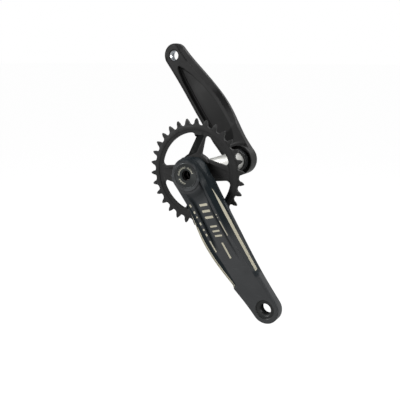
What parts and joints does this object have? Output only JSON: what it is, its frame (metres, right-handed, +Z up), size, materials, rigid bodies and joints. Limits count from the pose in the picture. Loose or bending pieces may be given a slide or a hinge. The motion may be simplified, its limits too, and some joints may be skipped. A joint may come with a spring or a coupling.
{
  "type": "bicycle crankset",
  "caption": "Mountain bicycle crankset: hollow spindle, two opposed forged arms with pedal threads, direct-mount narrow-wide chainring, self-extracting bolt and bearing preload collar.",
  "frame": {"origin": "on the spindle's axis, in the bicycle's centre plane", "axes": "+Y along the spindle towards the left (non-drive) side, +X towards the front of the bicycle, +Z up; the drive arm points forward and 50.9 degrees down"},
  "size_m": [0.2534, 0.1706, 0.3042],
  "materials": {
    "drive_arm": "satin dark blue-grey anodised",
    "left_arm": "matte black anodised",
    "spindle": "polished ground steel",
    "chainring": "matte dark grey anodised",
    "lockring_washer": "plain",
    "chainring_lockring": "black anodised",
    "crank_bolt": "dark steel",
    "bolt_washer": "plain steel",
    "extractor_glide_ring": "slippery plastic",
    "extractor_cap": "turned dark grey anodised",
    "drive_seal_ring": "soft",
    "thrust_washer": "turned",
    "preload_adjuster": "satin black anodised",
    "pinch_screw": "dark steel",
    "spindle_retaining_ring": "spring steel",
    "left_end_plug": "satin moulded",
    "plug_ring": "soft"
  },
  "bodies": {
    "root": {"drive_arm": "drive_arm", "left_arm": "left_arm", "spindle": "spindle", "chainring": "chainring", "lockring_washer": "lockring_washer", "chainring_lockring": "chainring_lockring", "bolt_washer": "bolt_washer", "extractor_glide_ring": "extractor_glide_ring", "extractor_cap": "extractor_cap", "drive_seal_ring": "drive_seal_ring", "spindle_retaining_ring": "spindle_retaining_ring", "left_end_plug": "left_end_plug", "plug_ring": "plug_ring"},
    "crank_bolt": {"crank_bolt": "crank_bolt"},
    "thrust": {"thrust_washer": "thrust_washer"},
    "adjuster": {"preload_adjuster": "preload_adjuster"},
    "pinch_screw": {"pinch_screw": "pinch_screw"}
  },
  "joints": [
    {"name": "crank_bolt_turn", "type": "hinge", "parent": "root", "child": "crank_bolt", "pos_m": [0, -0.065, 0], "axis": [0, -1, 0], "range_deg": [0, 126]},
    {"name": "preload_travel", "type": "slide", "parent": "root", "child": "thrust", "axis": [0, -1, 0], "range_m": [0, 0.0025]},
    {"name": "adjuster_turn", "type": "hinge", "parent": "thrust", "child": "adjuster", "pos_m": [0, 0.055, 0], "axis": [0, -1, 0], "range_deg": [0, 720]},
    {"name": "pinch_screw_turn", "type": "hinge", "parent": "adjuster", "child": "pinch_screw", "pos_m": [-0.0148, 0.05515, 0.00751], "axis": [0.4524, 0, 0.8918], "range_deg": [0, 360]}
  ],
  "couplings": [
    {"joint": "preload_travel", "follows": "adjuster_turn", "m_per_rad": 0.00019894}
  ]
}
